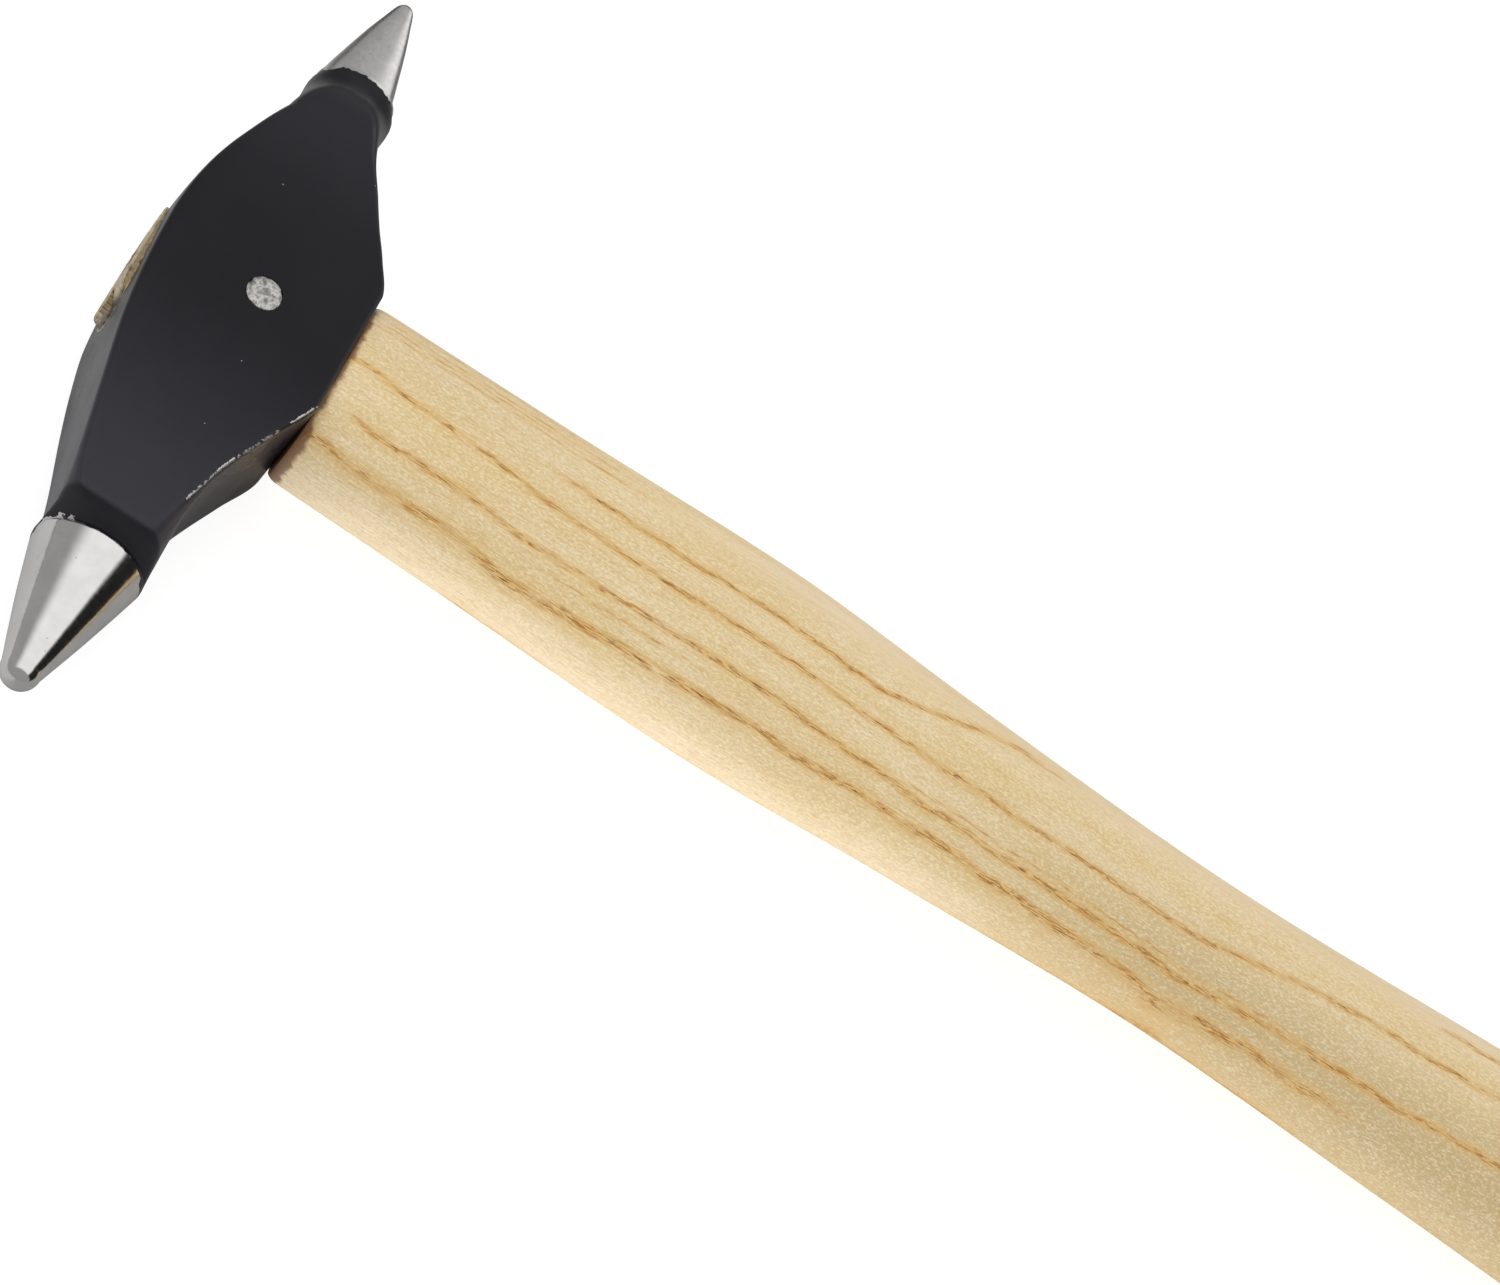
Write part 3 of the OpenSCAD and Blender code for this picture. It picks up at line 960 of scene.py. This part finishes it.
# Tints of the ash: its ground, the painted light and shade and the grain over it, the rows of pores, then
# both ends of the tenon
ASH = {
    "pale": (0.70, 0.56, 0.34),
    "warm": (0.65, 0.485, 0.235),
    "golden": (0.64, 0.47, 0.18),
    # Painted light for the handle's low side, then painted shade far from the head and near it
    "low_side_painted_light": (0.81, 0.69, 0.50),
    "far_shade": (0.46, 0.345, 0.17),
    "near_shade": (0.54, 0.42, 0.24),
    "plain_edge": (0.72, 0.585, 0.40),
    "fibre": (0.60, 0.41, 0.18),
    "light_fleck": (0.86, 0.76, 0.55),
    "dark_fleck": (0.54, 0.37, 0.17),
    "halo": (0.68, 0.44, 0.13),
    "halo_streak": (0.60, 0.37, 0.10),
    "streak": (0.56, 0.38, 0.15),
    "row": (0.68, 0.40, 0.10),
    "fine_halo": (0.64, 0.41, 0.13),
    "pore": (0.46, 0.20, 0.028),
    "pore_core": (0.20, 0.075, 0.012),
    "stray_pore": (0.52, 0.31, 0.10),
    "dark_foot_edge": (0.17, 0.055, 0.022),
    "dark_end": (0.12, 0.09, 0.05),
    "light_end": (0.36, 0.29, 0.175),
    "dark_eye_end": (0.022, 0.017, 0.012),
}


def ash_ground(n, fibres, fleck, plain_edge, busy):
    """The ash between its rows of pores: clouded and flecked, with painted light making it paler low down,
    and painted shade making it darker on the cone's side far from the head and on the peen's side near the
    head.
    """
    cloud = n.noise(n.stretched(26, 5, 5, (2, 4, 6)), 2.0, 0.5)
    patch = n.span(n.noise(n.stretched(14, 3.5, 3.5, (7, 7, 1)), 2.0, 0.55), 0.48, 0.66)
    # Painted light low down; painted shade far from the head and near it
    low_side_painted_light = n.product(n.span(n.z, 7, 16, 1.0, 0.0), n.span(n.x, 70, 150, 0.8, 0.2))
    far_shade = n.product(n.span(n.x, 95, 150, 0.0, 0.9), n.span(n.y, -9, 3, 1.0, 0.0))
    near_shade = n.product(n.span(n.x, 22, 55, 0.35, 0.0), n.span(n.y, -2, 4))
    tint = n.blend(n.span(cloud, 0.32, 0.68), ASH["pale"], ASH["warm"])
    tint = n.tinted(tint, ASH["golden"], patch, 0.40)
    tint = n.tinted(tint, ASH["low_side_painted_light"], low_side_painted_light)
    tint = n.tinted(tint, ASH["far_shade"], far_shade)
    tint = n.tinted(tint, ASH["near_shade"], near_shade)
    tint = n.tinted(tint, ASH["plain_edge"], plain_edge, 0.6)
    tint = n.tinted(tint, ASH["fibre"], n.span(fibres, 0.44, 0.64, 0.0, 0.36))
    tint = n.tinted(tint, ASH["light_fleck"], n.span(fleck, 0.46, 0.64, 0.0, 0.50), busy)
    return n.tinted(tint, ASH["dark_fleck"], n.span(fleck, 0.34, 0.50, 0.38, 0.0), busy)


def pore_rows(n, ring_y, rings, width, halo_width):
    """1 along each row of pores, and 1 in the wider halo round it."""
    early = n.span(n.x, 5, 60)
    line = 0.0
    halo = 0.0
    for start_y, fall, x0, x1, rise, start, end in rings:
        later = n.span(n.x, x0, x1, start_y, start_y + rise)
        centre = n.math("ADD", n.math("MULTIPLY", early, fall), later)
        gap = n.math("ABSOLUTE", n.math("SUBTRACT", ring_y, centre))
        shows = n.product(n.span(n.x, start, start + 8), n.span(n.x, end - 12, end, 1.0, 0.0))
        line = n.math("MAXIMUM", line, n.product(n.span(gap, 0.04, width, 1.0, 0.0), shows))
        halo = n.math("MAXIMUM", halo, n.product(n.span(gap, 0.1, halo_width, 1.0, 0.0), shows))
    return line, halo


def ash_pores(n, tint, busy):
    """The tint with the rows of pores drawn into it, and 1 where the larger pores are open."""
    slow = n.span(n.noise(n.stretched(30, 400, 400), 1.0, 0.5), 0.2, 0.8, -0.6, 0.6, soft=False)
    quick = n.span(n.noise(n.stretched(8, 60, 60, (4.0, 0, 0)), 2.0, 0.6), 0.2, 0.8, -0.45, 0.45, soft=False)
    ring_y = n.math("ADD", n.y, n.math("ADD", slow, quick))
    row, halo = pore_rows(n, ring_y, RINGS, 0.58, 1.4)
    fine_row, fine_halo = pore_rows(n, ring_y, FINE_RINGS, 0.28, 0.6)
    runs = n.span(n.noise(n.stretched(5.0, 2.0, 2.0, (8, 3, 2)), 2.0, 0.5), 0.38, 0.50, 0.35, 1.0)
    dashes = n.span(n.noise(n.stretched(2.2, 0.17, 0.17), 2.0, 0.5), 0.51, 0.545)
    cores = n.span(n.noise(n.stretched(1.4, 0.12, 0.12, (2, 7, 1)), 2.0, 0.5), 0.57, 0.61)
    streaks = n.span(n.noise(n.stretched(4.5, 0.2, 0.2, (6, 2, 3)), 2.0, 0.5), 0.47, 0.58)
    between = n.span(n.noise(n.stretched(1.8, 0.18, 0.18, (5, 5, 9)), 2.0, 0.5), 0.62, 0.68)
    pores = n.product(row, dashes, runs)
    all_pores = n.math("MAXIMUM", n.product(pores, 0.95), n.product(fine_row, dashes, 0.7))
    tint = n.tinted(tint, ASH["halo"], halo, 0.25)
    tint = n.tinted(tint, ASH["halo_streak"], halo, streaks, 0.55)
    tint = n.tinted(tint, ASH["streak"], streaks, busy, 0.16)
    tint = n.tinted(tint, ASH["row"], row, runs, 0.5)
    tint = n.tinted(tint, ASH["fine_halo"], fine_halo, 0.28)
    tint = n.tinted(tint, ASH["pore"], all_pores)
    tint = n.tinted(tint, ASH["pore_core"], row, cores, runs, 0.95)
    return n.tinted(tint, ASH["stray_pore"], between, busy, 0.5), pores


def ash_ends(n, tint):
    """The tint with a dark edge against the head and the dark end grain at the eye's mouth."""
    # The dark edge against the head is widest at its lower corner
    ragged = n.noise(n.stretched(3.0, 1.6, 1.6, (6, 6, 6)), 2.0, 0.5)
    edge_x = n.math("SUBTRACT", n.x, n.span(ragged, 0.3, 0.7, 0.0, 0.5))
    edge_x = n.math("SUBTRACT", edge_x, n.span(n.y, -9.0, -12.5, 0.0, 0.9))
    dark_foot_edge = n.span(edge_x, SHOULDER_H, SHOULDER_H + 0.7, 1.0, 0.0)
    tint = n.tinted(tint, ASH["dark_foot_edge"], dark_foot_edge, 0.8)
    mottled = n.noise(n.stretched(0.8, 0.8, 0.8), 4.0, 0.6)
    end_grain = n.blend(n.span(mottled, 0.32, 0.55), ASH["dark_end"], ASH["light_end"])
    # Near black at both ends of the eye
    dark_eye_ends = n.math("MAXIMUM", n.span(n.y, -7.4, -6.2, 1.0, 0.0), n.span(n.y, 7.8, 8.8))
    end_grain = n.tinted(end_grain, ASH["dark_eye_end"], dark_eye_ends, 0.9)
    return n.blend(n.span(n.x, -12.0, -9.0, 1.0, 0.0), tint, end_grain)


def ash_wood():
    """Ash sawn with its growth rings on edge: rows of open pores in pale wood."""
    n = material("ash_wood")
    fibres = n.noise(n.stretched(7.0, 0.25, 0.25, (3, 1, 8)), 3.0, 0.6)
    fleck = n.noise(n.stretched(0.55, 0.25, 0.25, (1, 5, 2)), 4.0, 0.7)
    plain_edge = n.product(n.span(n.y, 3.5, 8.5), n.span(n.x, 45, 85))
    busy = n.math("SUBTRACT", 1.0, n.product(plain_edge, 0.7))
    ground = ash_ground(n, fibres, fleck, plain_edge, busy)
    tint, pores = ash_pores(n, ground, busy)
    tint = ash_ends(n, tint)
    grain = n.math("ADD", n.math("MULTIPLY", fibres, 0.4), n.math("MULTIPLY", fleck, 0.6))
    normal = n.bump(n.math("SUBTRACT", grain, pores), 0.5, 0.08)
    wood = n.surface(Base_Color=tint, Roughness=0.48, Normal=normal, Coat_Weight=0.1, Coat_Roughness=0.3)
    return n.finish(wood)


def wedge_wood():
    n = material("wedge_wood")
    grain = n.noise(n.stretched(3.0, 0.5, 0.5), 4.0, 0.65)
    tint = n.blend(n.span(grain, 0.35, 0.65), (0.12, 0.075, 0.035), (0.34, 0.26, 0.14))
    return n.finish(n.surface(Base_Color=tint, Roughness=0.6, Normal=n.bump(grain, 0.7, 0.15)))


def set_glue():
    n = material("set_glue")
    lumps = n.noise(n.stretched(0.7, 0.7, 0.7), 3.0, 0.6)
    tint = n.blend(n.span(lumps, 0.35, 0.65), (0.03, 0.018, 0.006), (0.40, 0.27, 0.09))
    normal = n.bump(lumps, 0.5, 0.1)
    return n.finish(n.surface(Base_Color=tint, Roughness=0.32, Normal=normal, Coat_Weight=0.4))


# ---------------------------------------------------------------- putting the pieces on the frame


def place(piece, look, node, slot):
    """Gives a piece its material, hangs it on the root body and hides the CAD node that it stands for."""
    piece.data.materials.clear()
    piece.data.materials.append(look)
    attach(piece, "root")
    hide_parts(node)


place(head_body(), black_paint(), "head", "black_paint")
place(cone_tip(), polished_steel(), "head", "ground_steel")
place(peen_tip(), satin_steel(), "head", "ground_steel")
place(handle(), ash_wood(), "handle", "ash_wood")
place(cross_pin(), pin_steel(), "cross_pin", "ground_steel")
place(eye_wedge(), wedge_wood(), "eye_wedge", "wedge_wood")
place(glue_bead(), set_glue(), "glue_bead", "glue")

# ---------------------------------------------------------------- floor, light and camera


def floor():
    """Pale floor, far wider than the view."""
    size = 6.0
    corners = [(-size, -size, 0), (size, -size, 0), (size, size, 0), (-size, size, 0)]
    mesh = bpy.data.meshes.new("floor")
    mesh.from_pydata(corners, [], [(0, 1, 2, 3)])
    piece = new_object("floor", mesh)
    n = material("pale_floor")
    grain = n.noise(n.stretched(60, 60, 60), 2.0, 0.5)
    pale = n.blend(grain, (0.90, 0.90, 0.90), (0.92, 0.92, 0.92))
    # Painted shade, seen only in reflections: darker towards the handle and nearly black beyond the peen
    reflected_shade = n.blend(n.span(n.x, -15, 5), (0.62, 0.62, 0.62), (0.38, 0.38, 0.38))
    reflected_shade = n.blend(n.span(n.y, 40, 80), reflected_shade, (0.06, 0.06, 0.06))
    # Near white to the eye and as it lights the wood, but grey in the steel's and the paint's reflections
    white = (1.0, 1.0, 1.0)
    seen = n.surface(Base_Color=(0.2, 0.2, 0.2), Roughness=0.9, Emission_Color=white, Emission_Strength=0.87)
    lit = n.surface(Base_Color=pale, Roughness=0.9, Emission_Color=white, Emission_Strength=1.0)
    mirrored = n.surface(Base_Color=reflected_shade, Roughness=0.9)
    rays = n.tree.nodes.new("ShaderNodeLightPath")
    shader = n.mix_shader(rays.outputs["Is Glossy Ray"], lit, mirrored)
    mesh.materials.append(n.finish(n.mix_shader(rays.outputs["Is Camera Ray"], shader, seen)))


def studio():
    """Pale surround: a bright panel overhead, a dark gap towards the butt, and a glow beyond the peen.

    Surfaces lit by it, rather than mirroring it, also get a fill from the cone's side.
    """
    surround = 0.50
    panel_gain = 0.95
    gap_loss = 0.48
    beyond_gain = 1.1
    world = bpy.data.worlds.new("studio")
    bpy.context.scene.world = world
    n = Nodes(world, "Generated", 1.0)
    turn = n.math("MULTIPLY", n.math("ARCTAN2", n.z, n.x), DEGREES)
    middle = n.span(n.math("ABSOLUTE", n.y), 0.36, 0.50, 1.0, 0.0)
    panel = n.product(n.span(turn, 40, 46), n.span(turn, 108, 140, 1.0, 0.0), middle)
    gap = n.product(n.span(turn, -8, -2), n.span(turn, 36, 42, 1.0, 0.0), middle)
    beyond = n.product(n.span(n.y, 0.40, 0.55), n.span(n.x, 0.02, 0.5), n.span(n.y, 0.84, 0.95, 1.0, 0.0))
    level = n.math("ADD", surround, n.product(panel, panel_gain))
    level = n.math("SUBTRACT", level, n.product(gap, gap_loss))
    level = n.math("ADD", level, n.product(beyond, beyond_gain))
    rays = n.tree.nodes.new("ShaderNodeLightPath")
    fill = n.math("ADD", 0.04, n.span(n.y, -0.1, -0.8, 0.0, 0.9))
    level = n.product(level, n.math("ADD", 1.0, n.product(rays.outputs["Is Diffuse Ray"], fill)))
    back = n.tree.nodes.new("ShaderNodeBackground")
    n.link(level, back.inputs["Strength"])
    n.finish(back.outputs[0], "ShaderNodeOutputWorld")


def soft_light(name, where, aim, size, power):
    """Round soft lamp that isn't mirrored in the steel."""
    data = bpy.data.lights.new(name, "AREA")
    data.shape = "DISK"
    data.size = size
    data.energy = power
    lamp = bpy.data.objects.new(name, data)
    bpy.context.scene.collection.objects.link(lamp)
    lamp.location = where
    lamp.rotation_mode = "QUATERNION"
    lamp.rotation_quaternion = (Vector(aim) - Vector(where)).to_track_quat("-Z", "Y")
    lamp.visible_glossy = False


def camera():
    """Camera over the cone's side of the hammer, rolled so that the handle falls to the right."""
    aim = Vector((0.07592, 0.00384, 0.011))
    distance = 0.62316
    azimuth = math.radians(-106.785)
    elevation = math.radians(53.39)
    roll = math.radians(46.884)
    level_reach = math.cos(elevation)
    back = Vector((level_reach * math.cos(azimuth), level_reach * math.sin(azimuth), math.sin(elevation)))
    turn = back.to_track_quat("Z", "Y") @ Quaternion((0.0, 0.0, 1.0), roll)
    data = bpy.data.cameras.new("camera")
    data.sensor_width = 36.0
    data.lens = 117.9
    data.clip_start = 0.05
    data.clip_end = 20
    piece = bpy.data.objects.new("camera", data)
    bpy.context.scene.collection.objects.link(piece)
    piece.matrix_world = Matrix.Translation(aim + back * distance) @ turn.to_matrix().to_4x4()
    bpy.context.scene.camera = piece


floor()
studio()
soft_light("key", (-0.25, 0.35, 0.9), (0.08, 0, 0), 0.8, 3.7)
camera()
bpy.context.scene.view_settings.view_transform = "Standard"
